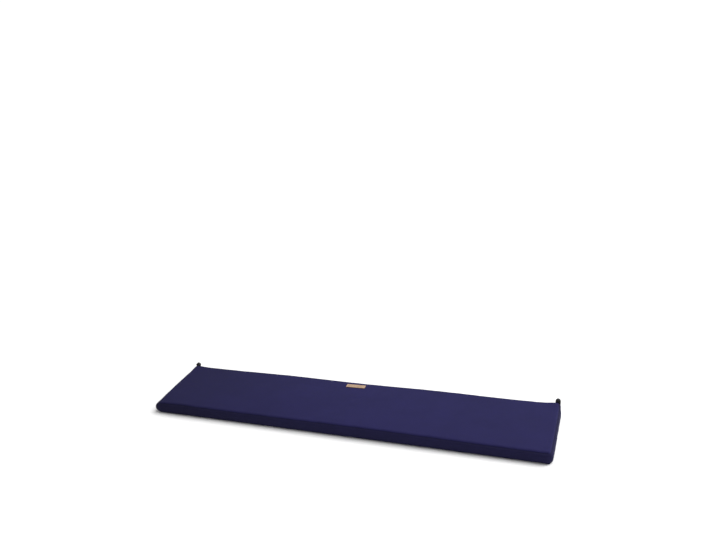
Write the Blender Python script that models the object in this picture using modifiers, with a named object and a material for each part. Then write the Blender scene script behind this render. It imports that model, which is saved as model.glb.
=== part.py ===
# A long, thin seat pad for a sofa bench: a foam-filled cloth box with soft rolled edges, an elastic
# tie loop at each rear corner and a small leather label near the middle of the rear edge.
# Metres, +Z up. The origin is the centre of the flat underside, +X the length, +Y the rear edge.

import math

import bmesh
import bpy
from mathutils import Vector
from mathutils.bvhtree import BVHTree

# Pad: a box of these sizes, whose points are then moved to the sewn and filled form
PAD_LENGTH = 1.600
PAD_WIDTH = 0.370
HALF_LENGTH = PAD_LENGTH / 2
HALF_WIDTH = PAD_WIDTH / 2

# Height of the top seam's edge along the front and the rear: a level, a rise from end to end,
# and one soft wave, because the filling lies a little uneven
EDGE_HEIGHTS = {
    "front": {"level": 0.0490, "rise": 0.0000, "wave": 0.0015, "crest_at": 0.12, "wavelength": 1.10},
    "rear": {"level": 0.0468, "rise": 0.0065, "wave": 0.0015, "crest_at": -0.33, "wavelength": 0.62},
}
CROWN = 0.004           # the middle of the top panel over its edges
TOP_ROLL = 0.016        # radius of the edge that the top panel and the boxing share
BOTTOM_ROLL = 0.013     # the same at the underside, pressed flatter
SEAM_DEPTH = 0.0035     # how far the two seams are pulled into the filling
BOXING_SWELL = 0.0015   # the boxing strip stands out between its two seams
PRESSED_FLAT = 0.0012   # the underside lies flat on the bench where it would be nearer than this

# Plan outline: the radius of each corner, and sides that the cover draws in a little
CORNERS = {
    "front": {"left": 0.018, "right": 0.028},
    "rear": {"left": 0.012, "right": 0.012},
}
SIDE_DRAW_IN = 0.002
FRONT_FLARE = 0.0025    # the front edge runs out at the right end and in at the left
FRONT_REACH = 0.0015
LEFT_END_SKEW = 0.006   # the left end is longer at the rear
RIGHT_PINCH = 0.004     # the right end is drawn in beside its loop
PINCH_FROM = 0.125
PINCH_OVER = 0.050

# The rear corners stand up where the loops are sewn in
CORNER_LIFTS = {"left": 0.002, "right": 0.004}
LIFT_SPREAD = 0.055

# Where the box is divided: distances from its ends and sides, from its two seams, and the count
# of even cells in between
RIM_STATIONS = (0.005, 0.011, 0.018, 0.030)
SEAM_ROW = 0.11
LENGTH_CELLS = 13
WIDTH_CELLS = 4
ON_FACE = 1e-6          # a point this near a face of the box is on it

# Label: leather patch, its long side a little turned from the pad's
LABEL = {"length": 0.081, "width": 0.028, "thickness": 0.0018, "x": -0.031, "y": 0.1405, "turn": 2.5}
LABEL_CELLS = (8, 3)

# Tie loops: one length of elastic webbing each, folded so that its two ends meet in the rear top
# seam. Its edges are tighter than its middle, so the fold is lower at both sides. lean is in
# degrees from upright, towards the rear.
WEBBING_WIDTH = 0.0205
WEBBING_THICKNESS = 0.0015
EDGE_TIGHTNESS = 0.17
LOOP_BELLY = 0.0100     # sets the spread of the two plies, widest under the fold
PLY_SPACING = 0.0011    # half the distance between the two ends
LOOP_STEPS = 20
LOOP_COLUMNS = 6
FOOT_DROP = 0.004       # the ends follow the pad's rolled corner at most this far down
LOOPS = {
    "loop_left": {"x": -0.7900, "y": 0.1812, "height": 0.0170, "lean": 10.0},
    "loop_right": {"x": 0.7850, "y": 0.1812, "height": 0.0195, "lean": 6.0},
}

GAP = 0.0003            # between a sewn-on piece and the cloth under it
REACH_DOWN = 0.2        # where the search for the cloth's surface starts, above the pad

COLLECTION = "sofa_cushion"
MATERIALS = {
    "navy woven cloth": {"color": (0.030, 0.029, 0.093), "roughness": 0.90, "metallic": 0.0},
    "tan leather": {"color": (0.420, 0.262, 0.150), "roughness": 0.60, "metallic": 0.0},
    "black elastic webbing": {"color": (0.008, 0.008, 0.010), "roughness": 0.85, "metallic": 0.0},
}


def clear_scene():
    for old in list(bpy.data.objects):
        bpy.data.objects.remove(old, do_unlink=True)


def clamp(value):
    return min(max(value, 0.0), 1.0)


def ease(value):
    """0 to 1, level at both ends."""
    share = clamp(value)
    return share * share * (3 - 2 * share)


def make_material(name):
    look = MATERIALS[name]
    material = bpy.data.materials.new(name)
    material.use_nodes = True
    shader = material.node_tree.nodes["Principled BSDF"]
    shader.inputs["Base Color"].default_value = (*look["color"], 1.0)
    shader.inputs["Roughness"].default_value = look["roughness"]
    shader.inputs["Metallic"].default_value = look["metallic"]
    return material


def make_object(name, cage, collection, material):
    """The cage becomes a named, smooth-shaded object with one material."""
    mesh = bpy.data.meshes.new(name)
    cage.to_mesh(mesh)
    cage.free()
    mesh.shade_smooth()
    mesh.materials.append(make_material(material))
    piece = bpy.data.objects.new(name, mesh)
    collection.objects.link(piece)
    return piece


def cut_across(cage, axis, stations):
    """Divides the cage by planes square to one axis."""
    normal = Vector((0.0, 0.0, 0.0))
    normal[axis] = 1.0
    for station in stations:
        everything = cage.verts[:] + cage.edges[:] + cage.faces[:]
        bmesh.ops.bisect_plane(
            cage, geom=everything, dist=ON_FACE, plane_co=normal * station, plane_no=normal
        )


def stations_across(half, cells):
    """Close together near both ends, evenly spaced between them."""
    inner = half - RIM_STATIONS[-1]
    rim = [half - distance for distance in RIM_STATIONS]
    even = [inner * (2 * i / cells - 1) for i in range(1, cells)]
    return [-distance for distance in rim] + even + rim[::-1]


def hand(x):
    return "left" if x < 0 else "right"


def edge_height(row, x):
    wave = row["wave"] * math.cos(2 * math.pi * (x - row["crest_at"]) / row["wavelength"])
    return row["level"] + row["rise"] * x / HALF_LENGTH + wave


def pad_height(x, y):
    """Height of the top panel: from the front edge's to the rear edge's, with the crown on it and
    the rear corners raised."""
    along, across = x / HALF_LENGTH, y / HALF_WIDTH
    rearward = (1 + across) / 2
    edges = (1 - rearward) * edge_height(EDGE_HEIGHTS["front"], x)
    edges += rearward * edge_height(EDGE_HEIGHTS["rear"], x)
    from_corner = math.hypot(HALF_LENGTH - abs(x), HALF_WIDTH - y)
    lift = CORNER_LIFTS[hand(x)] * ease(1 - from_corner / LIFT_SPREAD)
    return edges + lift + CROWN * (1 - along**4) * (1 - across**2)


def roll_edge(radius, end, side, rise):
    """A box edge turned to a quarter round: end, side and rise run from 0 where the round starts to
    1 at the box's faces. It gives how far each way the point moves in, as a share of itself."""
    keep_out = math.sqrt(1 - rise**2 / 2)
    keep_up = math.sqrt(1 - min(1.0, math.hypot(end, side)) ** 2 / 2)
    return radius * end * (1 - keep_out), radius * side * (1 - keep_out), radius * rise * (1 - keep_up)


def outline_reach(x, y):
    """How far the end and the side reach from the middle, at this point of the box's outline."""
    along, across = x / HALF_LENGTH, y / HALF_WIDTH
    if x < 0:
        end = HALF_LENGTH + LEFT_END_SKEW * across
    else:
        end = HALF_LENGTH - RIGHT_PINCH * ease((y - PINCH_FROM) / PINCH_OVER)
    side = HALF_WIDTH - SIDE_DRAW_IN * (1 - along**2)
    if y < 0:
        side += FRONT_REACH + FRONT_FLARE * along
    return end, side


def round_corner(x, y):
    """The box's square corner, in plan, turned to a round one."""
    radius = CORNERS["front" if y < 0 else "rear"][hand(x)]
    end = clamp((abs(x) - HALF_LENGTH + radius) / radius)
    side = clamp((abs(y) - HALF_WIDTH + radius) / radius)
    x -= math.copysign(radius * end * (1 - math.sqrt(1 - side**2 / 2)), x)
    y -= math.copysign(radius * side * (1 - math.sqrt(1 - end**2 / 2)), y)
    return x, y


def pad_point(x, y, level):
    """Moves a point of the box, whose level runs from 0 at the underside to 1 at the top panel: its
    edges are rolled over, its seams pulled in, its corners rounded, and it takes the pad's outline."""
    height = pad_height(x, y)
    end_gap, side_gap = HALF_LENGTH - abs(x), HALF_WIDTH - abs(y)
    on_end, on_side = end_gap < ON_FACE, side_gap < ON_FACE
    z = level * height
    radius = TOP_ROLL if level > 0.5 else BOTTOM_ROLL
    from_face = height - z if level > 0.5 else z
    in_end, in_side, lowered = roll_edge(
        radius,
        clamp(1 - end_gap / radius),
        clamp(1 - side_gap / radius),
        clamp(1 - from_face / radius),
    )
    z += -lowered if level > 0.5 else lowered
    on_seam = (on_end or on_side) and level in (0.0, 1.0)
    pull = SEAM_DEPTH / math.sqrt(2) if on_seam else -BOXING_SWELL * 4 * level * (1 - level)
    if on_seam:
        z += pull if level == 0.0 else -pull
    in_end += pull if on_end else 0.0
    in_side += pull if on_side else 0.0
    reach_end, reach_side = outline_reach(x, y)
    x_in, y_in = x - math.copysign(in_end, x), y - math.copysign(in_side, y)
    x_in, y_in = round_corner(x_in, y_in)
    return Vector((x_in * reach_end / HALF_LENGTH, y_in * reach_side / HALF_WIDTH, z))


def make_cushion(collection):
    cage = bmesh.new()
    bmesh.ops.create_cube(cage, size=1.0)
    bmesh.ops.scale(cage, vec=(PAD_LENGTH, PAD_WIDTH, 1.0), verts=cage.verts)
    bmesh.ops.translate(cage, vec=(0.0, 0.0, 0.5), verts=cage.verts)
    cut_across(cage, 0, stations_across(HALF_LENGTH, LENGTH_CELLS))
    cut_across(cage, 1, stations_across(HALF_WIDTH, WIDTH_CELLS))
    cut_across(cage, 2, (SEAM_ROW, 0.5, 1 - SEAM_ROW))
    for vertex in cage.verts:
        x, y, level = vertex.co
        level = round(level, 6)  # exactly 0 or 1 on the two seams
        vertex.co = pad_point(x, y, level)
    cushion = make_object("cushion", cage, collection, "navy woven cloth")
    smooth = cushion.modifiers.new("filled form", "SUBSURF")
    smooth.levels = 1
    smooth.render_levels = 1
    press_flat(cushion)
    return cushion


def press_flat(piece):
    """Finishes the piece's form, and presses flat the part of its underside that it rests on."""
    bpy.context.view_layer.update()
    filled = piece.evaluated_get(bpy.context.evaluated_depsgraph_get())
    mesh = bpy.data.meshes.new_from_object(filled)
    for vertex in mesh.vertices:
        if vertex.co.z < PRESSED_FLAT:
            vertex.co.z = 0.0
    piece.modifiers.clear()
    piece.data = mesh


def surface_of(piece):
    """A tree of the finished surface, for setting the small pieces on it."""
    bpy.context.view_layer.update()
    return BVHTree.FromObject(piece, bpy.context.evaluated_depsgraph_get())


def make_label(collection, cushion):
    cage = bmesh.new()
    columns, rows = LABEL_CELLS
    bmesh.ops.create_grid(cage, x_segments=columns, y_segments=rows, size=0.5)
    bmesh.ops.scale(cage, vec=(LABEL["length"], LABEL["width"], 1.0), verts=cage.verts)
    label = make_object("label", cage, collection, "tan leather")
    label.location = (LABEL["x"], LABEL["y"], REACH_DOWN)
    label.rotation_euler = (0.0, 0.0, math.radians(LABEL["turn"]))
    lay = label.modifiers.new("lies on the top panel", "SHRINKWRAP")
    lay.target = cushion
    lay.wrap_method = "PROJECT"
    lay.use_project_z = True
    lay.use_positive_direction = False
    lay.use_negative_direction = True
    lay.offset = GAP
    thick = label.modifiers.new("leather", "SOLIDIFY")
    thick.thickness = LABEL["thickness"]
    thick.offset = 1.0
    return label


def loop_point(row, turn, off_middle):
    """The webbing's mid-plane, from the rear end at turn 0 over the fold at pi to the front end at
    2 pi: a drop shape that leans to the rear, in the plane across the pad. off_middle is 0 at the
    middle of the webbing's width and 1 at its edges."""
    rise = row["height"] * (1 - EDGE_TIGHTNESS * off_middle**3) * (1 - math.cos(turn)) / 2
    spread = PLY_SPACING * math.cos(turn / 2) + LOOP_BELLY * math.sin(turn) * math.sin(turn / 2) ** 3
    lean = math.radians(row["lean"]) * rise / row["height"]
    y = row["y"] + spread * math.cos(lean) + rise * math.sin(lean)
    return y, rise * math.cos(lean) - spread * math.sin(lean)


def cloth_height(surface, x, y):
    """Height of the pad's surface here, or 0 past its outline."""
    hit = surface.ray_cast(Vector((x, y, REACH_DOWN)), Vector((0.0, 0.0, -1.0)))[0]
    return hit.z if hit else 0.0


def make_loop(name, collection, surface):
    row = LOOPS[name]
    cage = bmesh.new()
    sides = [2 * i / LOOP_COLUMNS - 1 for i in range(LOOP_COLUMNS + 1)]
    columns = [row["x"] + side * WEBBING_WIDTH / 2 for side in sides]
    fronts = [row["y"] + side * PLY_SPACING - WEBBING_THICKNESS for side in (1, -1)]
    feet = [[cloth_height(surface, x, y) + GAP for y in fronts] for x in columns]
    base = max(max(pair) for pair in feet)
    feet = [[max(height, base - FOOT_DROP) for height in pair] for pair in feet]
    grid = []
    for i in range(LOOP_STEPS + 1):
        turn = 2 * math.pi * i / LOOP_STEPS
        end = {0: 0, LOOP_STEPS: 1}.get(i)
        line = []
        for x, side, foot in zip(columns, sides, feet):
            y, rise = loop_point(row, turn, abs(side))
            line.append(cage.verts.new((x, y, base + rise if end is None else foot[end])))
        grid.append(line)
    for near, far in zip(grid, grid[1:]):
        for c in range(LOOP_COLUMNS):
            cage.faces.new((near[c], near[c + 1], far[c + 1], far[c]))
    loop = make_object(name, cage, collection, "black elastic webbing")
    thick = loop.modifiers.new("webbing", "SOLIDIFY")
    thick.thickness = WEBBING_THICKNESS
    thick.offset = 0.0
    return loop


def build():
    clear_scene()
    collection = bpy.data.collections.new(COLLECTION)
    bpy.context.scene.collection.children.link(collection)
    cushion = make_cushion(collection)
    make_label(collection, cushion)
    surface = surface_of(cushion)
    for name in LOOPS:
        make_loop(name, collection, surface)


build()
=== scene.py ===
import math

import bpy
import numpy as np
from mathutils import Matrix, Vector


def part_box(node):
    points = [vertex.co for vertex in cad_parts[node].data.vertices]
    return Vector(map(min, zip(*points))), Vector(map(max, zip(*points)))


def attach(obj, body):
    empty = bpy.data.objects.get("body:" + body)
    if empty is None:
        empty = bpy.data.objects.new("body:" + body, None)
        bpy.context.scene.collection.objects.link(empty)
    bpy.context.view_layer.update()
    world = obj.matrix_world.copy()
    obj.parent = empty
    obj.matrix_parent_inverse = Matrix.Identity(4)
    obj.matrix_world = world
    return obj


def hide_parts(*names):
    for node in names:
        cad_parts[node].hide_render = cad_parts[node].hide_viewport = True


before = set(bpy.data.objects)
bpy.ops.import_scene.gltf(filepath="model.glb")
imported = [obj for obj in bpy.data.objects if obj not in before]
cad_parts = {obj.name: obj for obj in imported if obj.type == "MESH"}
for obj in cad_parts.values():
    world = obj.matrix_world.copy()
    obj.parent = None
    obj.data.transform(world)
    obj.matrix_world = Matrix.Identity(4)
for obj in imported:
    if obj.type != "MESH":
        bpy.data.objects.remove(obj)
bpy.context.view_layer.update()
print("frame loaded, nodes:", ", ".join(sorted(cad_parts)))

mm = 0.001


# Small tools that every piece uses

def linearColour(hexCode):
    # sRGB to linear light: c / 12.92 for a dark channel, ((c + 0.055) / 1.055) ^ 2.4 for the rest
    channels = np.array([int(hexCode[i:i + 2], 16) for i in (1, 3, 5)]) / 255
    bright = ((channels + 0.055) / 1.055) ** 2.4
    return (*np.where(channels > 0.04045, bright, channels / 12.92).tolist(), 1.0)


def ease(share):
    # 0 to 1 and level at both ends: 3 s^2 - 2 s^3
    share = np.clip(share, 0.0, 1.0)
    return share * share * (3 - 2 * share)


def wander(along, spacing, seed):
    # a soft random line from -1 to 1: one random value each spacing, eased into the next
    knots = np.random.default_rng(seed).uniform(-1, 1, 4096)
    place = along / spacing
    first = np.floor(place).astype(int)
    blend = ease(place - first)
    return (1 - blend) * knots[first % 4096] + blend * knots[(first + 1) % 4096]


def wanderSheet(x, y, spacing, seed):
    # the same over a sheet: random values at the corners of squares, eased across both ways
    knots = np.random.default_rng(seed).uniform(-1, 1, (256, 256))
    i, j = np.floor(x / spacing).astype(int), np.floor(y / spacing).astype(int)
    u, v = ease(x / spacing - i), ease(y / spacing - j)
    near = (1 - u) * knots[i % 256, j % 256] + u * knots[(i + 1) % 256, j % 256]
    far = (1 - u) * knots[i % 256, (j + 1) % 256] + u * knots[(i + 1) % 256, (j + 1) % 256]
    return (1 - v) * near + v * far


def gridFaces(rows, columns, ring=False):
    # the corners (i, j), (i+1, j), (i+1, j+1), (i, j+1) of each cell; a ring closes the columns
    i, j = np.meshgrid(np.arange(rows - 1), np.arange(columns if ring else columns - 1), indexing="ij")
    beside = (j + 1) % columns
    cells = [i * columns + j, (i + 1) * columns + j, (i + 1) * columns + beside, i * columns + beside]
    return np.stack(cells, axis=-1).reshape(-1, 4)


def vertexNormals(points, faces):
    # each face's normal is the cross product of its diagonals, and a point's is the sum of its faces'
    crossed = np.cross(points[faces[:, 2]] - points[faces[:, 0]], points[faces[:, 3]] - points[faces[:, 1]])
    normals = np.zeros_like(points)
    for corner in range(4):
        np.add.at(normals, faces[:, corner], crossed)
    return normals / np.linalg.norm(normals, axis=1, keepdims=True)


def newObject(name, data):
    thing = bpy.data.objects.new(name, data)
    bpy.context.scene.collection.objects.link(thing)
    return thing


def makePiece(name, points, faces, material, cornerUv=None, caps=(), marks=None):
    # one value of a mark for each point, and one place of cornerUv for each corner of each face
    mesh = bpy.data.meshes.new(name)
    mesh.from_pydata(points.tolist(), [], faces.tolist() + [list(cap) for cap in caps])
    if cornerUv is not None:
        mesh.uv_layers.new(name="clothPlace").data.foreach_set("uv", cornerUv.astype(np.float32).ravel())
    for mark, values in (marks or {}).items():
        mesh.attributes.new(mark, "FLOAT", "POINT").data.foreach_set("value", values.astype(np.float32))
    mesh.shade_smooth()
    mesh.materials.append(material)
    return newObject(name, mesh)


def addNode(tree, kind, settings=None, inputs=None):
    # a node with its settings; an input is a value, or the output socket that feeds it
    node = tree.nodes.new(kind)
    for setting, value in (settings or {}).items():
        setattr(node, setting, value)
    for socket, value in (inputs or {}).items():
        if isinstance(value, bpy.types.NodeSocket):
            tree.links.new(value, node.inputs[socket])
        else:
            node.inputs[socket].default_value = value
    return node


def newMaterial(name):
    material = bpy.data.materials.new(name)
    material.use_nodes = True
    tree = material.node_tree
    return material, tree, tree.nodes["Principled BSDF"]


# The grid that the pad and the label are made on: the skin of a box whose points carry their place
# (x, y, level), with level 0 at the underside and 1 at the top

def boxSides(xs, ys, levels):
    # six grids, each run so that its first direction crossed with its second points outward
    axes = (xs, ys, levels)
    sides = {}
    for side, first, second, fixed, value in (
        ("top", 0, 1, 2, levels[-1]), ("bottom", 1, 0, 2, levels[0]),
        ("front", 0, 2, 1, ys[0]), ("rear", 2, 0, 1, ys[-1]),
        ("right", 1, 2, 0, xs[-1]), ("left", 2, 1, 0, xs[0]),
    ):
        places = np.empty((len(axes[first]), len(axes[second]), 3))
        places[..., first] = axes[first][:, None]
        places[..., second] = axes[second][None, :]
        places[..., fixed] = value
        sides[side] = places
    return sides


def weldSides(sides):
    # stacks the grids, joins the points that share a place, and keeps each face corner's place
    places, faces, start = [], [], 0
    for grid in sides.values():
        places.append(grid.reshape(-1, 3))
        faces.append(gridFaces(*grid.shape[:2]) + start)
        start += grid.shape[0] * grid.shape[1]
    places, faces = np.concatenate(places), np.concatenate(faces)
    welded, index = np.unique(np.round(places, 8), axis=0, return_inverse=True)
    return welded, index.reshape(-1)[faces]


def stations(half, rim, step):
    # from -half to half: rim gives the close distances from both ends, and the rest are even
    inner = half - rim[-1]
    even = np.linspace(-inner, inner, max(2, round(2 * inner / step) + 1))[1:-1]
    near = half - np.array(rim)
    return np.concatenate([-near, even, near[::-1]])


# The pad: the form of its solid on a finer grid. Its front left corner is rounder and lower, its
# front right one squarer, and the two corners with loops stand up a little more.

pad = {
    "halfLength": 0.800,
    "halfWidth": 0.185,
    "front": {"level": 0.0490, "rise": 0.0000, "wave": 0.0015, "crestAt": 0.12, "wavelength": 1.10},
    "rear": {"level": 0.0463, "rise": 0.0065, "wave": 0.0015, "crestAt": -0.33, "wavelength": 0.62},
    "crown": 0.004,
    "topRoll": 0.016,          # radius of the edge that the top panel and the boxing share
    "bottomRoll": 0.013,
    "boxingSwell": 0.0015,     # the boxing stands out this much halfway up
    "noseSwell": 0.0095,       # and this much more on the left end, beside its front corner
    "noseSpread": 0.095,
    "noseDrop": 0.005,         # where the top panel lies this much lower
    "pressedFlat": 0.0012,     # what would be nearer the ground than this lies on it
    "corners": {"frontLeft": 0.018, "frontRight": 0.022, "rearLeft": 0.012, "rearRight": 0.012},
    "sideDrawIn": 0.002,
    "frontFlare": 0.0025,
    "frontReach": 0.0015,
    "leftEndSkew": 0.006,
    "rightPinch": 0.004,       # the right end is drawn in this much beside its loop
    "pinchFrom": 0.125,
    "pinchOver": 0.050,
    "liftLeft": 0.0035,        # the rear corners stand up where the loops are sewn in
    "liftRight": 0.0060,
    "liftSpread": 0.085,
    # distances of the grid's lines from each seam, the even spacing beyond them, and the levels
    # of the lines that run round the boxing's lower half
    "rim": (0.0, 0.0008, 0.0018, 0.0032, 0.0050, 0.0075, 0.0105, 0.0145, 0.0190, 0.0240),
    "step": 0.0048,
    "levelRim": (0.0, 0.016, 0.036, 0.064, 0.10, 0.15, 0.22, 0.30, 0.40),
}

# What sewing and filling add, in metres where nothing else is said
sewing = {
    "grooveDepth": 0.0015,     # the seam's stitches hold the cloth this far down
    "grooveReach": 0.0022,     # and let it rise again over about this distance
    "ditch": 0.0022,           # the cloth is darker this near to a seam, where light hardly falls
    "puckerHeight": 0.00018,   # small gathers that run square to a seam
    "puckerSpacing": 0.0085,
    "puckerReach": 0.0100,
    "puckerStart": 0.0020,     # the gathers begin about this far from the stitches
    "stitchUnevenness": 0.28,  # share of the groove's depth, over stretches of the next length
    "stitchStretch": 0.023,
    "foldHeight": 0.00075,     # longer soft waves in the boxing strip
    "foldSpacing": 0.034,
    "lumpHeight": 0.0009,      # the filling's unevenness under the top panel
    "lumpSpacing": 0.135,
    "dimpleHeight": 0.00028,
    "dimpleSpacing": 0.042,
    "lumpsFrom": 0.045,        # both reach their full height this far from the seams
    "stripHeight": 0.05,       # about the boxing's height
}


def edgeHeight(row, x):
    # level + rise * x / half length + wave * cos(2 pi (x - crest) / wavelength)
    wave = row["wave"] * np.cos(2 * np.pi * (x - row["crestAt"]) / row["wavelength"])
    return row["level"] + row["rise"] * x / pad["halfLength"] + wave


def panelHeight(x, y):
    # the front edge's height, running straight into the rear edge's, plus a crown of
    # (1 - along^4)(1 - across^2), plus a raised patch at each rear corner, less a low one at the
    # front left corner
    along, across = x / pad["halfLength"], y / pad["halfWidth"]
    rearward = (1 + across) / 2
    height = (1 - rearward) * edgeHeight(pad["front"], x) + rearward * edgeHeight(pad["rear"], x)
    fromCorner = np.hypot(pad["halfLength"] - np.abs(x), pad["halfWidth"] - y)
    lift = np.where(x < 0, pad["liftLeft"], pad["liftRight"])
    height += lift * ease(1 - fromCorner / pad["liftSpread"])
    fromNose = np.hypot(x + pad["halfLength"], y + pad["halfWidth"])
    height -= pad["noseDrop"] * ease(1 - fromNose / pad["noseSpread"])
    return height + pad["crown"] * (1 - along ** 4) * (1 - across ** 2)


def outlineScale(x, y):
    # how far the end and the side reach, as a share of the box's half length and half width
    along, across = x / pad["halfLength"], y / pad["halfWidth"]
    pinch = pad["rightPinch"] * ease((y - pad["pinchFrom"]) / pad["pinchOver"])
    end = pad["halfLength"] + np.where(x < 0, pad["leftEndSkew"] * across, -pinch)
    side = pad["halfWidth"] - pad["sideDrawIn"] * (1 - along ** 2)
    side += np.where(y < 0, pad["frontReach"] + pad["frontFlare"] * along, 0.0)
    return end / pad["halfLength"], side / pad["halfWidth"]


def padSurface(places):
    # Box to pad. In the outer radius of each edge, shares end, side and rise run from 0 to 1 at
    # the box's faces; a point moves in by radius * share * (1 - sqrt(1 - other share^2 / 2)),
    # which turns the edge to a quarter round. The same in plan rounds the corners. The boxing
    # stands out by swell * 4 level (1 - level), and by nose * that share squared near its corner.
    x, y, level = places.T
    height = panelHeight(x, y)
    endGap, sideGap = pad["halfLength"] - np.abs(x), pad["halfWidth"] - np.abs(y)
    upper = level > 0.5
    radius = np.where(upper, pad["topRoll"], pad["bottomRoll"])
    z = level * height
    end = np.clip(1 - endGap / radius, 0, 1)
    side = np.clip(1 - sideGap / radius, 0, 1)
    rise = np.clip(1 - np.where(upper, height - z, z) / radius, 0, 1)
    keepOut = 1 - np.sqrt(1 - rise ** 2 / 2)
    keepUp = 1 - np.sqrt(1 - np.minimum(1, np.hypot(end, side)) ** 2 / 2)
    z = z + np.where(upper, -1, 1) * radius * rise * keepUp
    bulge = 4 * level * (1 - level)
    swell = pad["boxingSwell"] * bulge
    nose = pad["noseSwell"] * bulge ** 2 * ease(1 - (y + pad["halfWidth"]) / pad["noseSpread"]) * (x < 0)
    x = x - np.sign(x) * (radius * end * keepOut - (swell + nose) * (endGap < 1e-6))
    y = y - np.sign(y) * (radius * side * keepOut - swell * (sideGap < 1e-6))
    corner = np.where(
        y < 0,
        np.where(x < 0, pad["corners"]["frontLeft"], pad["corners"]["frontRight"]),
        np.where(x < 0, pad["corners"]["rearLeft"], pad["corners"]["rearRight"]),
    )
    end = np.clip((np.abs(x) - pad["halfLength"]) / corner + 1, 0, 1)
    side = np.clip((np.abs(y) - pad["halfWidth"]) / corner + 1, 0, 1)
    scaleX, scaleY = outlineScale(*places.T[:2])
    x = (x - np.sign(x) * corner * end * (1 - np.sqrt(1 - side ** 2 / 2))) * scaleX
    y = (y - np.sign(y) * corner * side * (1 - np.sqrt(1 - end ** 2 / 2))) * scaleY
    pressed = np.maximum(0, 2 * (z - pad["pressedFlat"]))  # meets z again at twice the depth
    return np.stack([x, y, np.where(z < 2 * pad["pressedFlat"], pressed, z)], axis=1)


def sewnRelief(places):
    # How far the cloth stands out along its normal. At distance d from a seam:
    # -depth * exp(-d / reach), uneven along the seam, plus puckers * (1 - exp(-d / start)) *
    # exp(-d / reach); on the boxing soft folds * sin(pi level); on the top lumps and dimples.
    x, y, level = places.T
    height = panelHeight(x, y)
    endGap, sideGap = pad["halfLength"] - np.abs(x), pad["halfWidth"] - np.abs(y)
    relief = np.zeros_like(x)
    for seed, off in ((11, (1 - level) * height), (41, level * height)):
        grooves = []
        for gap, along, far, shift in ((sideGap, x, y, 0), (endGap, y, x, 7)):
            away = gap + off
            seedHere = seed + shift
            loose = np.where(
                far < 0,
                wander(along + 3, sewing["puckerSpacing"], seedHere),
                wander(along + 5, sewing["puckerSpacing"] * 1.15, seedHere + 1),
            )
            uneven = wander(along + 2, sewing["stitchStretch"], seedHere + 2)
            uneven = 1 + sewing["stitchUnevenness"] * uneven
            grooves.append(-sewing["grooveDepth"] * uneven * np.exp(-away / sewing["grooveReach"]))
            rising = 1 - np.exp(-away / sewing["puckerStart"])
            rising = rising * np.exp(-away / sewing["puckerReach"])
            relief += sewing["puckerHeight"] * loose * rising
        relief += np.minimum(*grooves)
    boxing = np.sin(np.pi * np.clip(level, 0, 1))
    folds = np.where(
        sideGap < endGap,
        wander(x + 2 * np.sign(y) + 0.35 * level * height, sewing["foldSpacing"], 71),
        wander(y + 2 * np.sign(x) + 0.35 * level * height, sewing["foldSpacing"], 72),
    )
    relief += sewing["foldHeight"] * boxing * folds
    inner = ease(np.minimum(endGap, sideGap) / sewing["lumpsFrom"]) * (level > 0.999)
    relief += inner * sewing["lumpHeight"] * wanderSheet(x + 3, y + 3, sewing["lumpSpacing"], 81)
    relief += inner * sewing["dimpleHeight"] * wanderSheet(x + 3, y + 3, sewing["dimpleSpacing"], 82)
    return relief


# Cloth simulation of the cover: pressure fills it while its seams shrink a little

swelling = {
    "columns": 179,            # about 9 mm apart
    "rows": 42,
    "levels": 7,
    "frames": 20,
    "pressure": 1.1,
    "seamShrink": 0.022,       # the sewn edges end this much shorter than the cloth beside them
    "clothSlack": -0.010,      # and the cloth this much longer
    "hold": 0.35,              # the foam's pull back to its own shape, as a pin weight
    "holdStiffness": 1.0,
    "quality": 5,
    "mass": 0.3,
    "stretch": 25,             # canvas hardly stretches
    "shear": 8,
    "bend": 0.6,
    "mostMove": 0.0032,        # no point moves further than this
}


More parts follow.
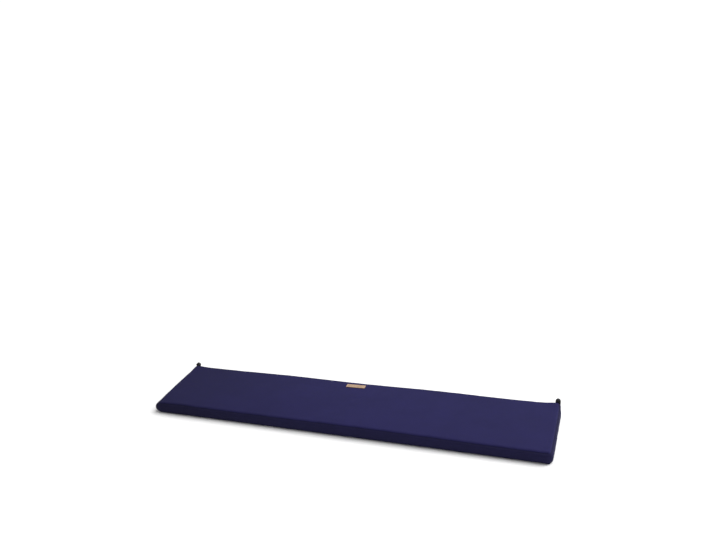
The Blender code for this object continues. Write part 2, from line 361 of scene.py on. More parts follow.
def fillCover():
    # the shift of each point of a coarse box grid, from the pad's form to the filled cover's
    sides = boxSides(
        np.linspace(-pad["halfLength"], pad["halfLength"], swelling["columns"]),
        np.linspace(-pad["halfWidth"], pad["halfWidth"], swelling["rows"]),
        np.linspace(0, 1, swelling["levels"]),
    )
    places, faces = weldSides(sides)
    start = padSurface(places)
    mesh = bpy.data.meshes.new("cover")
    mesh.from_pydata(start.tolist(), [], faces.tolist())
    cover = newObject("cover", mesh)
    x, y, level = places.T
    onRim = np.isclose(np.abs(x), pad["halfLength"]) | np.isclose(np.abs(y), pad["halfWidth"])
    seam = onRim & (np.isclose(level, 0) | np.isclose(level, 1))
    under = np.isclose(level, 0)
    held = cover.vertex_groups.new(name="held")
    held.add(np.flatnonzero(~under).tolist(), swelling["hold"], "REPLACE")
    held.add(np.flatnonzero(under).tolist(), 1.0, "REPLACE")
    sewn = cover.vertex_groups.new(name="sewn")
    sewn.add(np.flatnonzero(seam).tolist(), 1.0, "REPLACE")
    cloth = cover.modifiers.new("filling", "CLOTH")
    settings = cloth.settings
    settings.quality = swelling["quality"]
    settings.mass = swelling["mass"]
    settings.tension_stiffness = swelling["stretch"]
    settings.compression_stiffness = swelling["stretch"]
    settings.shear_stiffness = swelling["shear"]
    settings.bending_stiffness = swelling["bend"]
    settings.use_pressure = True
    settings.uniform_pressure_force = swelling["pressure"]
    settings.effector_weights.gravity = 0
    settings.vertex_group_mass = "held"
    settings.pin_stiffness = swelling["holdStiffness"]
    settings.vertex_group_shrink = "sewn"
    settings.shrink_min = swelling["clothSlack"]
    settings.shrink_max = swelling["seamShrink"]
    cloth.collision_settings.use_collision = False
    cloth.point_cache.frame_start = 1
    cloth.point_cache.frame_end = swelling["frames"]
    for step in range(1, swelling["frames"] + 1):
        bpy.context.scene.frame_set(step)
    finished = cover.evaluated_get(bpy.context.evaluated_depsgraph_get()).data
    moved = np.empty(len(finished.vertices) * 3, np.float32)
    finished.vertices.foreach_get("co", moved)
    shift = moved.reshape(-1, 3) - start
    bpy.data.objects.remove(cover, do_unlink=True)
    bpy.context.scene.frame_set(1)
    normals = vertexNormals(start, faces)
    outward = (shift * normals).sum(axis=1)
    print("cover filled, outward mm:", np.round(np.percentile(outward, (1, 25, 50, 75, 99)) * 1000, 2))
    usual = np.median(outward[~under & ~onRim])
    shift -= normals * (usual * ~under)[:, None]       # the even part of the swelling comes off
    length = np.linalg.norm(shift, axis=1)
    shift *= (np.minimum(1, swelling["mostMove"] / np.maximum(length, 1e-9)))[:, None]
    index = {tuple(place): k for k, place in enumerate(places.tolist())}
    shifts = {}
    for side, grid in sides.items():
        keys = np.round(grid, 8).reshape(-1, 3).tolist()
        shifts[side] = evened(shift[[index[tuple(key)] for key in keys]].reshape(grid.shape))
    return shifts


def evened(grid):
    # each point becomes (before + 2 own + after) / 4, twice along each direction, with the ends of
    # every line kept, so that two sides still meet at their seam
    for _ in range(2):
        for axis in (0, 1):
            lines = np.moveaxis(grid, axis, 0).copy()
            lines[1:-1] = (lines[:-2] + 2 * lines[1:-1] + lines[2:]) / 4
            grid = np.moveaxis(lines, 0, axis)
    return grid


def readGrid(grid, row, column):
    # cubic (Catmull-Rom) reading of a grid of values at fractional rows and columns
    def taps(place, count):
        first = np.clip(np.floor(place).astype(int), 0, count - 2)
        t = place - first
        weights = (
            -0.5 * t + t ** 2 - 0.5 * t ** 3,
            1 - 2.5 * t ** 2 + 1.5 * t ** 3,
            0.5 * t + 2 * t ** 2 - 1.5 * t ** 3,
            -0.5 * t ** 2 + 0.5 * t ** 3,
        )
        return [(np.clip(first + k - 1, 0, count - 1), weight) for k, weight in enumerate(weights)]
    value = 0
    for i, weightRow in taps(row, grid.shape[0]):
        for j, weightColumn in taps(column, grid.shape[1]):
            value = value + (weightRow * weightColumn)[:, None] * grid[i, j]
    return value


def coverShift(shifts, places):
    # each place reads the shift of the side of the box that it lies on
    x, y, level = places.T
    across = {
        "x": (x / pad["halfLength"] + 1) / 2 * (swelling["columns"] - 1),
        "y": (y / pad["halfWidth"] + 1) / 2 * (swelling["rows"] - 1),
        "level": level * (swelling["levels"] - 1),
    }
    shift = np.zeros_like(places)
    for side, first, second, onSide in (
        ("front", "x", "level", np.isclose(y, -pad["halfWidth"])),
        ("rear", "level", "x", np.isclose(y, pad["halfWidth"])),
        ("right", "y", "level", np.isclose(x, pad["halfLength"])),
        ("left", "level", "y", np.isclose(x, -pad["halfLength"])),
        ("bottom", "y", "x", np.isclose(level, 0)),
        ("top", "x", "y", np.isclose(level, 1)),
    ):
        shift[onSide] = readGrid(shifts[side], across[first][onSide], across[second][onSide])
    return shift


# Navy acrylic canvas, woven plain: matt and a little fibrous, so it has a soft sheen and hardly
# any gloss. The threads are 0.9 mm apart, a little coarser than the real cloth's, so that the
# weave can be seen in a close view.

canvas = {
    "threadSpacing": 0.9 * mm,
    "colour": "#131231",
    "paleThread": "#252254",
    "stripShadeTone": "#EFEFDA",    # painted shade: the boxing strip is made darker and greyer than the top panel
    "seamShadeTone": "#B3B3BC",     # painted shade deep in a seam: the colour is multiplied by this there
    "leftShadeShare": 0.66,         # painted shade: the left end is darker than the rest
    "roughness": 0.86,
    "specular": 0.14,
    "ior": 1.49,
    "sheen": 0.05,
    "sheenRoughness": 0.5,
    "sheenTint": "#8C8CB8",
    "weaveDepth": 0.12 * mm,
    "yarnWidth": 1.8 * mm,     # thick and thin places in the yarn: this wide
    "yarnRun": 0.035,          # and this long
    "fuzz": 0.7 * mm,
    "patchesPerMetre": 9.0,
    # how much of the pale thread's colour the top of a thread, an even yarn and a patch bring
    "weaveTone": 0.70,
    "yarnTone": 0.32,
    "patchTone": 0.35,
    # the relief is the weave plus these shares of the yarn and the fuzz
    "yarnRelief": 0.35,
    "fuzzRelief": 0.3,
    "bump": 0.85,
    "roughnessSpread": 0.06,
    "leftShadeFrom": -0.85,        # the left end's painted shade runs out between these two places
    "leftShadeTo": 0.0,
}


def makeCanvas():
    material, tree, shader = newMaterial("navy woven acrylic canvas")
    place = addNode(tree, "ShaderNodeUVMap", {"uv_map": "clothPlace"}).outputs["UV"]
    threads = addNode(tree, "ShaderNodeVectorMath", {"operation": "SCALE"},
                      {0: place, "Scale": math.pi / canvas["threadSpacing"]}).outputs[0]
    split = addNode(tree, "ShaderNodeSeparateXYZ", inputs={0: threads})
    waves = {}
    for axis in ("X", "Y"):
        waves[axis] = addNode(tree, "ShaderNodeMath", {"operation": "SINE"},
                              {0: split.outputs[axis]}).outputs[0]
    rounds = {}
    for axis in ("X", "Y"):
        rounds[axis] = addNode(tree, "ShaderNodeMath", {"operation": "ABSOLUTE"},
                               {0: waves[axis]}).outputs[0]
    # a thread is on top where the two waves have the same sign, and under where they differ
    over = addNode(tree, "ShaderNodeMath", {"operation": "MULTIPLY"},
                   {0: waves["X"], 1: waves["Y"]}).outputs[0]
    isOver = addNode(tree, "ShaderNodeMath", {"operation": "GREATER_THAN"},
                     {0: over, 1: 0.0}).outputs[0]
    heights = []
    for across, along in (("X", "Y"), ("Y", "X")):
        arch = addNode(tree, "ShaderNodeMath", {"operation": "MULTIPLY_ADD"},
                       {0: rounds[along], 1: 0.55, 2: 0.45}).outputs[0]
        heights.append(addNode(tree, "ShaderNodeMath", {"operation": "MULTIPLY"},
                               {0: rounds[across], 1: arch}).outputs[0])
    weave = addNode(tree, "ShaderNodeMix", {"data_type": "FLOAT"},
                    {0: isOver, 2: heights[1], 3: heights[0]}).outputs[0]
    # uneven yarn: noise drawn out along each thread direction
    yarn = []
    fine, drawnOut = 1 / canvas["yarnWidth"], 1 / canvas["yarnRun"]
    for stretch in ((fine, drawnOut, 1), (drawnOut, fine, 1)):
        drawn = addNode(tree, "ShaderNodeMapping", inputs={"Vector": place, "Scale": stretch}).outputs[0]
        yarn.append(addNode(tree, "ShaderNodeTexNoise", {"noise_dimensions": "2D"},
                            {"Vector": drawn, "Scale": 1.0, "Detail": 2.0}).outputs["Fac"])
    streaks = addNode(tree, "ShaderNodeMath", {"operation": "ADD"}, {0: yarn[0], 1: yarn[1]}).outputs[0]
    body = addNode(tree, "ShaderNodeTexCoord").outputs["Object"]
    patches = addNode(tree, "ShaderNodeTexNoise", inputs={
        "Vector": body, "Scale": canvas["patchesPerMetre"], "Detail": 3.0, "Roughness": 0.55,
    }).outputs["Fac"]
    tone = addNode(tree, "ShaderNodeMath", {"operation": "MULTIPLY_ADD"},
                   {0: streaks, 1: canvas["yarnTone"], 2: -canvas["yarnTone"]}).outputs[0]
    tone = addNode(tree, "ShaderNodeMath", {"operation": "MULTIPLY_ADD"},
                   {0: patches, 1: canvas["patchTone"], 2: tone}).outputs[0]
    worn = addNode(tree, "ShaderNodeMath", {"operation": "MULTIPLY_ADD", "use_clamp": True},
                   {0: weave, 1: canvas["weaveTone"], 2: tone}).outputs[0]
    colour = addNode(tree, "ShaderNodeMix", {"data_type": "RGBA"}, {
        0: worn, 6: linearColour(canvas["colour"]), 7: linearColour(canvas["paleThread"])}).outputs[2]
    # painted shade: the cloth is darker towards the left end, and this runs out by the middle
    along = addNode(tree, "ShaderNodeSeparateXYZ", inputs={0: body}).outputs["X"]
    shadeTowardsLeft = addNode(tree, "ShaderNodeMapRange", {"interpolation_type": "SMOOTHSTEP"}, {
        "Value": along, "From Min": canvas["leftShadeFrom"], "From Max": canvas["leftShadeTo"],
        "To Min": canvas["leftShadeShare"], "To Max": 1.0}).outputs[0]
    colour = addNode(tree, "ShaderNodeVectorMath", {"operation": "SCALE"},
                     {0: colour, "Scale": shadeTowardsLeft}).outputs[0]
    # painted shade: the boxing strip's colour is multiplied darker and greyer
    shadedStripMask = addNode(tree, "ShaderNodeAttribute", {"attribute_name": "shadedStripMask"}).outputs["Fac"]
    colour = addNode(tree, "ShaderNodeMix", {"data_type": "RGBA", "blend_type": "MULTIPLY"}, {
        0: shadedStripMask, 6: colour, 7: linearColour(canvas["stripShadeTone"])}).outputs[2]
    # painted shade: the cloth is darkened near each seam, where its groove lies in shade
    seamShadeMask = addNode(tree, "ShaderNodeAttribute", {"attribute_name": "seamShadeMask"}).outputs["Fac"]
    colour = addNode(tree, "ShaderNodeMix", {"data_type": "RGBA", "blend_type": "MULTIPLY"}, {
        0: seamShadeMask, 6: colour, 7: linearColour(canvas["seamShadeTone"])}).outputs[2]
    tree.links.new(colour, shader.inputs["Base Color"])
    rough = addNode(tree, "ShaderNodeMapRange", inputs={
        "Value": streaks, "From Min": 0.6, "From Max": 1.4,
        "To Min": canvas["roughness"] - canvas["roughnessSpread"],
        "To Max": canvas["roughness"] + canvas["roughnessSpread"]}).outputs[0]
    tree.links.new(rough, shader.inputs["Roughness"])
    fuzz = addNode(tree, "ShaderNodeTexNoise", inputs={
        "Vector": body, "Scale": 1 / canvas["fuzz"], "Detail": 2.0}).outputs["Fac"]
    relief = addNode(tree, "ShaderNodeMath", {"operation": "MULTIPLY_ADD"},
                     {0: fuzz, 1: canvas["fuzzRelief"], 2: weave}).outputs[0]
    relief = addNode(tree, "ShaderNodeMath", {"operation": "MULTIPLY_ADD"},
                     {0: streaks, 1: canvas["yarnRelief"], 2: relief}).outputs[0]
    bump = addNode(tree, "ShaderNodeBump", inputs={
        "Height": relief, "Strength": canvas["bump"], "Distance": canvas["weaveDepth"]}).outputs[0]
    tree.links.new(bump, shader.inputs["Normal"])
    shader.inputs["Sheen Weight"].default_value = canvas["sheen"]
    shader.inputs["Sheen Roughness"].default_value = canvas["sheenRoughness"]
    shader.inputs["Sheen Tint"].default_value = linearColour(canvas["sheenTint"])
    shader.inputs["Specular IOR Level"].default_value = canvas["specular"]
    shader.inputs["IOR"].default_value = canvas["ior"]
    return material


def clothPlaces(places, faces):
    # the place of each face corner on its own cut panel, in metres: x and y on the two flat
    # panels, and along the strip and up it on the boxing
    corners = places[faces]
    x, y, level = corners[..., 0], corners[..., 1], corners[..., 2]
    height = level * panelHeight(x, y)
    spread = np.ptp(corners, axis=1)
    onEnd = (spread[:, 0] < 1e-7)[:, None]
    onSide = (spread[:, 1] < 1e-7)[:, None]
    u = np.where(onEnd, y + 2.0, x)
    v = np.where(onEnd | onSide, height + 0.5, y)
    return np.stack([u, v], axis=-1)


def makeCushion():
    rim = np.array(pad["levelRim"])
    sides = boxSides(
        stations(pad["halfLength"], pad["rim"], pad["step"]),
        stations(pad["halfWidth"], pad["rim"], pad["step"]),
        np.concatenate([rim, [0.5], 1 - rim[::-1]]),
    )
    places, faces = weldSides(sides)
    points = padSurface(places) + coverShift(shifts, places)
    points += vertexNormals(points, faces) * sewnRelief(places)[:, None]
    points[:, 2] = np.maximum(points[:, 2], 0.0)
    x, y, level = places.T
    toRim = np.minimum(pad["halfLength"] - np.abs(x), pad["halfWidth"] - np.abs(y))
    # how far each point lies from its seam, for the painted shade near the seams
    toSeam = toRim + np.minimum(level, 1 - level) * sewing["stripHeight"]
    # the boxing strip, which gets a painted shade, darker and greyer than the top
    shadedStripMask = (toRim < 1e-6) & (level > 1e-6) & (level < 1 - 1e-6)
    cushion = makePiece(
        "cushion_cover", points, faces, makeCanvas(), cornerUv=clothPlaces(places, faces),
        marks={"seamShadeMask": np.exp(-toSeam / sewing["ditch"]), "shadedStripMask": shadedStripMask},
    )
    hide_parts("cushion")
    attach(cushion, "root")
    print("cushion cover:", len(faces), "faces")


def clothHeight(x, y):
    # the finished top panel's height over the ground: undoes the outline's scale, then reads the
    # panel's height, the filled cover's shift and the relief there
    boxX, boxY = x, y
    for _ in range(3):
        scaleX, scaleY = outlineScale(boxX, boxY)
        boxX, boxY = x / scaleX, y / scaleY
    places = np.stack([boxX, boxY, np.ones_like(x)], axis=1)
    return panelHeight(boxX, boxY) + coverShift(shifts, places)[:, 2] + sewnRelief(places)


# The label: vegetable-tanned leather, cut with rounded corners and sewn down along both short ends

label = {
    "length": 0.081,
    "width": 0.028,
    "thickness": 0.0018,
    "x": -0.034,
    "y": 0.1378,
    "turn": 2.5,               # degrees from the pad's length
    "corner": 0.0035,
    "edgeRound": 0.0006,
    "gap": 0.0003,
    "stitchLine": 0.0040,      # from each short end
    "stitchDip": 0.00045,      # the stitches pull the leather down a little
    "stitchDipReach": 1.3 * mm,
    "rim": (0.0, 0.0002, 0.0004, 0.0006, 0.0010, 0.0016, 0.0024, 0.0035),
    "step": 0.8 * mm,
    "levels": (0.0, 0.12, 0.3, 0.5, 0.7, 0.88, 1.0),
    "ripple": 0.12 * mm,       # the leather isn't quite flat
    "rippleSpacing": 6 * mm,
    "grain": 1.1 * mm,
    "fineGrain": 0.5 * mm,
    "grainDepth": 0.18 * mm,
    "bump": 0.55,
    "blotch": 9 * mm,
    "ior": 1.5,
    "specular": 0.45,
    "darkTan": "#957A60",
    "paleTan": "#B89C80",
    "poreTone": "#C4B3A2",
    "cutEdge": "#5C3F2C",
    "cutEdgeReach": 0.7 * mm,  # the dark of the cut edge runs this far over the rim
    "cutEdgeShare": 0.85,
}


def labelPlace(x, y):
    # turned by its small angle and moved to its place on the top panel
    turn = math.radians(label["turn"])
    return (
        label["x"] + x * math.cos(turn) - y * math.sin(turn),
        label["y"] + x * math.sin(turn) + y * math.cos(turn),
    )


def labelDip(x, y):
    # a shallow groove along each line of stitches: dip * exp(-(distance / reach)^2)
    away = np.abs(np.abs(x) - (label["length"] / 2 - label["stitchLine"]))
    return label["stitchDip"] * np.exp(-(away / label["stitchDipReach"]) ** 2)


def makeLeather():
    # Vegetable-tanned cowhide, dyed through: a fine pebbled grain, a soft gloss on the high
    # spots, uneven tan, and cut edges rubbed darker. The grain is 1.1 mm, about twice real size.
    material, tree, shader = newMaterial("vegetable-tanned tan leather")
    body = addNode(tree, "ShaderNodeTexCoord").outputs["Object"]
    grain = addNode(tree, "ShaderNodeTexVoronoi", {"feature": "SMOOTH_F1"}, {
        "Vector": body, "Scale": 1 / label["grain"], "Smoothness": 0.6}).outputs["Distance"]
    blotch = addNode(tree, "ShaderNodeTexNoise", inputs={
        "Vector": body, "Scale": 1 / label["blotch"], "Detail": 4.0, "Roughness": 0.6}).outputs["Fac"]
    fine = addNode(tree, "ShaderNodeTexNoise", inputs={
        "Vector": body, "Scale": 1 / label["fineGrain"], "Detail": 2.0}).outputs["Fac"]
    ramp = addNode(tree, "ShaderNodeValToRGB", inputs={"Fac": blotch})
    ramp.color_ramp.elements[0].position = 0.30
    ramp.color_ramp.elements[0].color = linearColour(label["darkTan"])
    ramp.color_ramp.elements[1].position = 0.72
    ramp.color_ramp.elements[1].color = linearColour(label["paleTan"])
    edge = addNode(tree, "ShaderNodeAttribute", {"attribute_name": "cutEdge"}).outputs["Fac"]
    colour = addNode(tree, "ShaderNodeMix", {"data_type": "RGBA"}, {
        0: edge, 6: ramp.outputs["Color"], 7: linearColour(label["cutEdge"])}).outputs[2]
    pore = addNode(tree, "ShaderNodeMapRange", inputs={
        "Value": grain, "From Min": 0.1, "From Max": 0.8, "To Min": 0.30, "To Max": 0.0}).outputs[0]
    colour = addNode(tree, "ShaderNodeMix", {"data_type": "RGBA", "blend_type": "MULTIPLY"}, {
        0: pore, 6: colour, 7: linearColour(label["poreTone"])}).outputs[2]
    tree.links.new(colour, shader.inputs["Base Color"])
    rough = addNode(tree, "ShaderNodeMapRange", inputs={
        "Value": blotch, "From Min": 0.3, "From Max": 0.7, "To Min": 0.62, "To Max": 0.46}).outputs[0]
    tree.links.new(rough, shader.inputs["Roughness"])
    relief = addNode(tree, "ShaderNodeMath", {"operation": "MULTIPLY_ADD"},
                     {0: fine, 1: 0.35, 2: grain}).outputs[0]
    bump = addNode(tree, "ShaderNodeBump", inputs={
        "Height": relief, "Strength": label["bump"], "Distance": label["grainDepth"]}).outputs[0]
    tree.links.new(bump, shader.inputs["Normal"])
    shader.inputs["IOR"].default_value = label["ior"]
    shader.inputs["Specular IOR Level"].default_value = label["specular"]
    return material


def makeLabel():
    # The box grid again: corners rounded in plan by corner * share * (1 - sqrt(1 - other^2 / 2)),
    # the rim rolled over by the edge's small radius, and the whole laid on the cloth's height.
    halfLength, halfWidth = label["length"] / 2, label["width"] / 2
    places, faces = weldSides(boxSides(
        stations(halfLength, label["rim"], label["step"]),
        stations(halfWidth, label["rim"], label["step"]),
        np.array(label["levels"]),
    ))
    x, y, level = places.T
    z = level * label["thickness"]
    radius = label["edgeRound"]
    endGap, sideGap = halfLength - np.abs(x), halfWidth - np.abs(y)
    end, side = np.clip(1 - endGap / radius, 0, 1), np.clip(1 - sideGap / radius, 0, 1)
    rise = np.clip(1 - (label["thickness"] - z) / radius, 0, 1)
    keepOut = 1 - np.sqrt(1 - rise ** 2 / 2)
    keepUp = 1 - np.sqrt(1 - np.minimum(1, np.hypot(end, side)) ** 2 / 2)
    z = z - radius * rise * keepUp
    x = x - np.sign(x) * radius * end * keepOut
    y = y - np.sign(y) * radius * side * keepOut
    corner = label["corner"]
    end = np.clip((np.abs(x) - halfLength) / corner + 1, 0, 1)
    side = np.clip((np.abs(y) - halfWidth) / corner + 1, 0, 1)
    x = x - np.sign(x) * corner * end * (1 - np.sqrt(1 - side ** 2 / 2))
    y = y - np.sign(y) * corner * side * (1 - np.sqrt(1 - end ** 2 / 2))
    worldX, worldY = labelPlace(x, y)
    z = z + clothHeight(worldX, worldY) + label["gap"]
    ripple = label["ripple"] * wanderSheet(worldX + 1, worldY + 1, label["rippleSpacing"], 91)
    z = z - level * labelDip(x, y) + level * ripple
    toEdge = np.minimum(endGap, sideGap)
    cutEdge = np.where(level > 0.99, np.exp(-toEdge / label["cutEdgeReach"]), 1.0)
    piece = makePiece("leather_label", np.stack([worldX, worldY, z], axis=1), faces, makeLeather(),
                      marks={"cutEdge": label["cutEdgeShare"] * cutEdge})
    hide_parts("label")
    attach(piece, "root")
    print("leather label:", len(faces), "faces")


stitch = {
    "count": 5,
    "pitch": 4.6 * mm,
    "length": 3.5 * mm,
    "radius": 0.48 * mm,
    "rise": 0.42 * mm,         # the middle of a stitch over its ends
    "sink": 0.30 * mm,         # and its ends under the leather's face
    "strandDepth": 0.16,       # how deep the two strands' groove is, as a share of the radius
    "stray": 0.12 * mm,        # no stitch lies quite in line
    "fibre": 0.35 * mm,
    "fibreDepth": 0.05 * mm,
    "bump": 0.3,
    "roughness": 0.5,
    "ior": 1.54,
    "steps": 15,
    "ring": 10,
    "darkThread": "#C4ACA4",
    "paleThread": "#E6D6CE",
}


def makeThread():
    # Waxed polyester sewing thread, two strands twisted together: smooth and pale, with a soft shine
    material, tree, shader = newMaterial("pale waxed polyester thread")
    body = addNode(tree, "ShaderNodeTexCoord").outputs["Object"]
    fibre = addNode(tree, "ShaderNodeTexNoise", inputs={
        "Vector": body, "Scale": 1 / stitch["fibre"], "Detail": 3.0}).outputs["Fac"]
    colour = addNode(tree, "ShaderNodeMix", {"data_type": "RGBA"}, {
        0: fibre, 6: linearColour(stitch["darkThread"]),
        7: linearColour(stitch["paleThread"])}).outputs[2]
    tree.links.new(colour, shader.inputs["Base Color"])
    shader.inputs["Roughness"].default_value = stitch["roughness"]
    shader.inputs["IOR"].default_value = stitch["ior"]
    bump = addNode(tree, "ShaderNodeBump", inputs={
        "Height": fibre, "Strength": stitch["bump"], "Distance": stitch["fibreDepth"]}).outputs[0]
    tree.links.new(bump, shader.inputs["Normal"])
    return material


def makeStitches():
    # Each stitch is a tube along y: its line rises by rise * sin(pi t)^0.5 - sink out of the
    # leather, and its radius, r (1 + depth cos(2 (angle - 5 t))) (0.25 + 0.75 sin(pi t)^0.4),
    # makes two twisted strands that thin out towards both ends.
    ends = np.array([-1, 1])
    middles = (np.arange(stitch["count"]) - (stitch["count"] - 1) / 2) * stitch["pitch"]
    t = np.linspace(0, 1, stitch["steps"])
    angle = np.arange(stitch["ring"]) * 2 * np.pi / stitch["ring"]
    end, middle, t, angle = np.meshgrid(ends, middles, t, angle, indexing="ij")
    radius = stitch["radius"] * (1 + stitch["strandDepth"] * np.cos(2 * (angle - 5 * t)))
    radius = radius * (0.25 + 0.75 * np.sin(np.pi * t) ** 0.4)
    x = end * (label["length"] / 2 - label["stitchLine"]) + radius * np.cos(angle)
    x = x + stitch["stray"] * wander(middle * 1000 + end, 1.0, 95)
    y = middle + (t - 0.5) * stitch["length"]
    worldX, worldY = labelPlace(x, y)
    flat = clothHeight(worldX.ravel(), worldY.ravel()).reshape(x.shape)
    lift = stitch["rise"] * np.sin(np.pi * t) ** 0.5 - stitch["sink"]
    z = flat + label["gap"] + label["thickness"] - labelDip(x, y) + lift + radius * np.sin(angle)
    points = np.stack([worldX, worldY, z], axis=-1)
    count = len(ends) * stitch["count"]
    tube = gridFaces(stitch["steps"], stitch["ring"], ring=True)[:, ::-1]
    perStitch = stitch["steps"] * stitch["ring"]
    faces = (tube[None] + perStitch * np.arange(count)[:, None, None]).reshape(-1, 4)
    ringPoints = np.arange(stitch["ring"])
    starts = perStitch * np.arange(count)[:, None]
    caps = np.concatenate([starts + ringPoints, starts + perStitch - 1 - ringPoints]).tolist()
    piece = makePiece("label_stitches", points.reshape(-1, 3), faces, makeThread(), caps=caps)
    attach(piece, "root")
    print("label stitches:", count)


# The tie loops: knitted black elastic webbing, folded over, both ends sewn into the rear top seam

webbing = {
    "width": 0.0205,
    "thickness": 0.0015,
    "edgeTightness": 0.46,     # the fold is this share lower at its edges than in its middle
    "belly": 0.0100,           # how far the fold opens
    "plySpacing": 0.0011,
    "cordSpacing": 1.45 * mm,  # rubber cords run along the webbing and stand out as ribs
    "cordHeight": 0.10 * mm,
    "ribsFade": 0.06,          # the ribs run out over this share of the half width at each edge
    "flatness": 14,            # a higher power gives the webbing squarer edges
    "fullness": 0.93,
    "knitRow": 0.8 * mm,
    "knitDepth": 0.14 * mm,
    "fuzz": 0.6 * mm,
    "bump": 0.7,
    "roughness": 0.72,
    "sheen": 0.15,
    "sheenRoughness": 0.4,
    "ior": 1.5,
    "steps": 84,
    "columns": 84,
    "footRows": 8,
    "footDepth": 0.0075,       # both ends run this far down into the seam
    "black": "#0B0B0E",
    "worn": "#222228",
    # narrowing is the share of its width that the fold loses where it is squeezed together, and
    # slack is how far it hangs under its solid's height
    "loops": {
        "loop_left": {
            "x": -0.7900, "y": 0.1812, "height": 0.0170, "slack": 0.0012, "lean": 10.0, "narrowing": 0.14,
        },
        "loop_right": {
            "x": 0.7850, "y": 0.1812, "height": 0.0195, "slack": 0.0008, "lean": 6.0, "narrowing": 0.02,
        },
    },
}


def makeElastic():
    # Knitted elastic webbing of polyester over rubber cords: dull black, ribbed along its length,
    # with fine knit rows across. The rows are 0.8 mm, coarser than the real 0.5 mm, so that they show.
    material, tree, shader = newMaterial("black knitted elastic webbing")
    place = addNode(tree, "ShaderNodeUVMap", {"uv_map": "clothPlace"}).outputs["UV"]
    rows = addNode(tree, "ShaderNodeTexWave", {"wave_type": "BANDS", "bands_direction": "Y"}, {
        "Vector": place, "Scale": 0.314 / webbing["knitRow"], "Distortion": 0.6, "Detail": 1.0,
        "Detail Scale": 2.0}).outputs["Fac"]
    body = addNode(tree, "ShaderNodeTexCoord").outputs["Object"]
    fuzz = addNode(tree, "ShaderNodeTexNoise", inputs={
        "Vector": body, "Scale": 1 / webbing["fuzz"], "Detail": 3.0}).outputs["Fac"]
    mixed = addNode(tree, "ShaderNodeMath", {"operation": "MULTIPLY_ADD"},
                    {0: fuzz, 1: 0.6, 2: rows}).outputs[0]
    tone = addNode(tree, "ShaderNodeMapRange", inputs={
        "Value": mixed, "From Min": 0.2, "From Max": 1.5}).outputs[0]
    colour = addNode(tree, "ShaderNodeMix", {"data_type": "RGBA"}, {
        0: tone, 6: linearColour(webbing["black"]), 7: linearColour(webbing["worn"])}).outputs[2]
    tree.links.new(colour, shader.inputs["Base Color"])
    bump = addNode(tree, "ShaderNodeBump", inputs={
        "Height": mixed, "Strength": webbing["bump"], "Distance": webbing["knitDepth"]}).outputs[0]
    tree.links.new(bump, shader.inputs["Normal"])
    shader.inputs["Roughness"].default_value = webbing["roughness"]
    shader.inputs["Sheen Weight"].default_value = webbing["sheen"]
    shader.inputs["Sheen Roughness"].default_value = webbing["sheenRoughness"]
    shader.inputs["IOR"].default_value = webbing["ior"]
    return material


def webbingMiddle(row, turn, side):
    # The middle of the webbing's thickness, for turn 0 at the rear end over the fold at pi to 2 pi:
    # rise = (height - slack)(1 - tightness |side|^2.4)(1 - cos turn) / 2,
    # spread = spacing cos(turn / 2) + belly sin(turn) sin(turn / 2)^3, and both lean to the rear.
    # The width shrinks by narrowing (1 - cos turn) / 2, because the fold is squeezed together.
    folded = (1 - np.cos(turn)) / 2
    rise = (row["height"] - row["slack"]) * (1 - webbing["edgeTightness"] * np.abs(side) ** 2.4) * folded
    spread = webbing["plySpacing"] * np.cos(turn / 2)
    spread = spread + webbing["belly"] * np.sin(turn) * np.sin(turn / 2) ** 3
    lean = math.radians(row["lean"]) * rise / row["height"]
    x = row["x"] + side * webbing["width"] / 2 * (1 - row["narrowing"] * folded)
    y = row["y"] + spread * np.cos(lean) + rise * np.sin(lean)
    return np.stack([x, y, rise * np.cos(lean) - spread * np.sin(lean)], axis=-1)


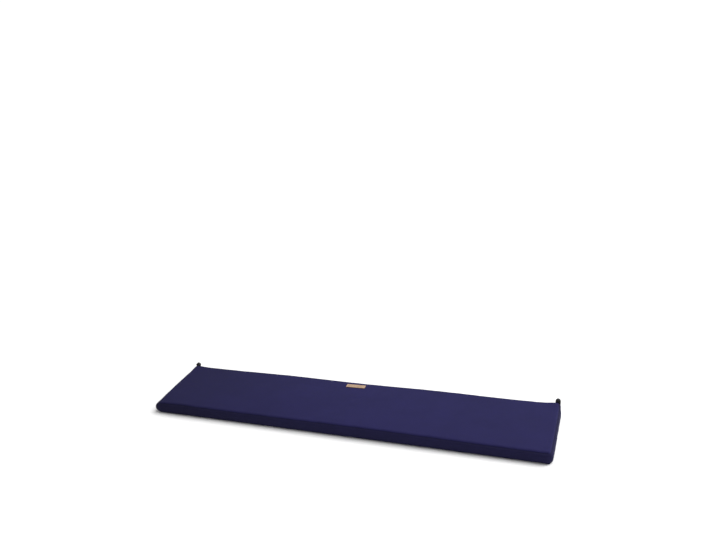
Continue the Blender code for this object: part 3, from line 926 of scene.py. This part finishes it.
def makeLoop(name, material):
    row = webbing["loops"][name]
    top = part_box(name)[1][2]
    base = top - row["height"] * math.cos(math.radians(row["lean"])) - webbing["thickness"] / 2
    side = np.linspace(-1, 1, webbing["columns"] + 1)
    turn = np.linspace(0, 2 * np.pi, webbing["steps"] + 1)
    turnGrid, sideGrid = np.meshgrid(turn, side, indexing="ij")
    middle = webbingMiddle(row, turnGrid, sideGrid)
    down = np.linspace(1, 0, webbing["footRows"], endpoint=False)[:, None, None]
    drop = down * np.array([0.0, -0.0010, -webbing["footDepth"]])
    middle = np.concatenate([middle[:1] + drop, middle, middle[-1:] + drop[::-1]])
    middle[..., 2] += base
    # the face's own direction, from its slopes along the path and across the webbing
    along, across = np.gradient(middle, axis=0), np.gradient(middle, axis=1)
    outward = np.cross(across, along)
    outward /= np.linalg.norm(outward, axis=-1, keepdims=True)
    ribs = webbing["cordHeight"] * np.cos(np.pi * webbing["width"] * side / webbing["cordSpacing"])
    # half the thickness is round at the two edges: sqrt(1 - |side|^flatness)
    roundness = np.sqrt(np.maximum(0, 1 - np.abs(side) ** webbing["flatness"]))
    half = webbing["thickness"] / 2 * roundness * webbing["fullness"]
    half = half + ribs * np.minimum(1, (1 - np.abs(side)) / webbing["ribsFade"])
    outer, inner = middle + outward * half[:, None], middle - outward * half[:, None]
    # one ring round the webbing: the outer face's columns, then the inner face's, without the
    # two edge columns that they share
    points = np.concatenate([outer, inner[:, -2:0:-1]], axis=1)
    rows, ring = points.shape[:2]
    faces = gridFaces(rows, ring, ring=True)
    length = np.concatenate([[0], np.cumsum(np.linalg.norm(np.diff(middle[:, 0], axis=0), axis=1))])
    ringPlace = np.concatenate([side, side[-2:0:-1]]) * webbing["width"] / 2
    uv = np.stack(np.broadcast_arrays(ringPlace[None, :], length[:, None]), axis=-1).reshape(-1, 2)
    firstRing = list(range(ring))
    lastRing = list(range((rows - 1) * ring, rows * ring))
    cornerUv = np.concatenate([uv[faces].reshape(-1, 2), uv[firstRing], uv[lastRing[::-1]]])
    piece = makePiece(name + "_webbing", points.reshape(-1, 3), faces, material,
                      cornerUv=cornerUv, caps=(firstRing, lastRing[::-1]))
    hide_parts(name)
    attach(piece, "root")
    print(piece.name, len(faces), "faces")


# The studio: a white floor under an even white sky, one wide soft light from behind on the right,
# a soft box at the rear right and a weak one at the front left

studio = {
    "floorSize": 700.0,
    "floorColour": "#F4F4F4",
    "floorPaler": "#F7F7F7",
    "sky": 0.42,
    "sun": {"energy": 2.72, "spread": 66.0, "elevation": 60.0, "azimuth": 42.0},
    # soft boxes: centre, what they point at, width and power in watts
    "boxes": {
        "rear right": {"place": (2.3, 1.0, 1.7), "aim": (0.4, 0.0, 0.0), "width": 1.5, "power": 26.0},
        "front left": {"place": (-2.4, -2.2, 0.7), "aim": (-0.5, -0.2, 0.0), "width": 1.4, "power": 4.0},
    },
}

camera = {
    "focal": 839.0,            # in pixels of the frame
    "frameWidth": 716,
    "sensor": 36.0,
    "clipEnd": 1500.0,         # past the floor's far corners
    "yaw": -18.482,
    "pitch": 19.671,
    "roll": -2.409,
    "place": (0.9852, -2.8212, 1.6802),
}


def makeFloor():
    half = studio["floorSize"] / 2
    corners = np.array([[-half, -half, 0.0], [half, -half, 0.0], [half, half, 0.0], [-half, half, 0.0]])
    # Matt white vinyl: hardly any texture, so only a faint mottle and a high roughness
    material, tree, shader = newMaterial("matt white vinyl backdrop")
    body = addNode(tree, "ShaderNodeTexCoord").outputs["Object"]
    mottle = addNode(tree, "ShaderNodeTexNoise", inputs={"Vector": body, "Scale": 3.0}).outputs["Fac"]
    colour = addNode(tree, "ShaderNodeMix", {"data_type": "RGBA"}, {
        0: mottle, 6: linearColour(studio["floorColour"]),
        7: linearColour(studio["floorPaler"])}).outputs[2]
    tree.links.new(colour, shader.inputs["Base Color"])
    shader.inputs["Roughness"].default_value = 0.95
    shader.inputs["Specular IOR Level"].default_value = 0.0
    floor = makePiece("floor", corners, np.array([[0, 1, 2, 3]]), material)
    print("white floor laid")


def makeLights():
    world = bpy.data.worlds.new("studio")
    bpy.context.scene.world = world
    world.use_nodes = True
    background = world.node_tree.nodes["Background"]
    background.inputs["Color"].default_value = (1.0, 1.0, 1.0, 1.0)
    background.inputs["Strength"].default_value = studio["sky"]
    sun = bpy.data.lights.new("overhead", "SUN")
    sun.energy = studio["sun"]["energy"]
    sun.angle = math.radians(studio["sun"]["spread"])
    lamp = newObject("overhead", sun)
    # a sun shines along its own -Z: tipped from straight down, then turned about the vertical
    tip = math.radians(90 - studio["sun"]["elevation"])
    lamp.rotation_euler = (-tip, 0.0, -math.radians(studio["sun"]["azimuth"]))
    for name, row in studio["boxes"].items():
        area = bpy.data.lights.new(name, "AREA")
        area.energy = row["power"]
        area.size = row["width"]
        lamp = newObject(name, area)
        lamp.location = row["place"]
        towards = Vector(row["aim"]) - Vector(row["place"])
        lamp.rotation_euler = towards.to_track_quat("-Z", "Y").to_euler()
    print("lights:", ", ".join(["sky", "overhead", *studio["boxes"]]))


def makeCamera():
    yaw, pitch, roll = (math.radians(camera[turn]) for turn in ("yaw", "pitch", "roll"))
    forward = np.array([math.sin(yaw) * math.cos(pitch), math.cos(yaw) * math.cos(pitch), -math.sin(pitch)])
    right = np.array([math.cos(yaw), -math.sin(yaw), 0.0])
    up = np.cross(right, forward)
    rolledRight = right * math.cos(roll) + up * math.sin(roll)
    rolledUp = up * math.cos(roll) - right * math.sin(roll)
    data = bpy.data.cameras.new("camera")
    data.sensor_width = camera["sensor"]
    data.lens = camera["focal"] / camera["frameWidth"] * camera["sensor"]
    data.clip_end = camera["clipEnd"]
    eye = newObject("camera", data)
    pose = np.eye(4)
    pose[:3, :3] = np.stack([rolledRight, rolledUp, -forward], axis=1)
    pose[:3, 3] = camera["place"]
    eye.matrix_world = Matrix(pose.tolist())
    bpy.context.scene.camera = eye
    print("camera placed")


shifts = fillCover()
makeCushion()
makeLabel()
makeStitches()
elastic = makeElastic()
for loopName in webbing["loops"]:
    makeLoop(loopName, elastic)
makeFloor()
makeLights()
makeCamera()
bpy.context.scene.view_settings.view_transform = "Standard"
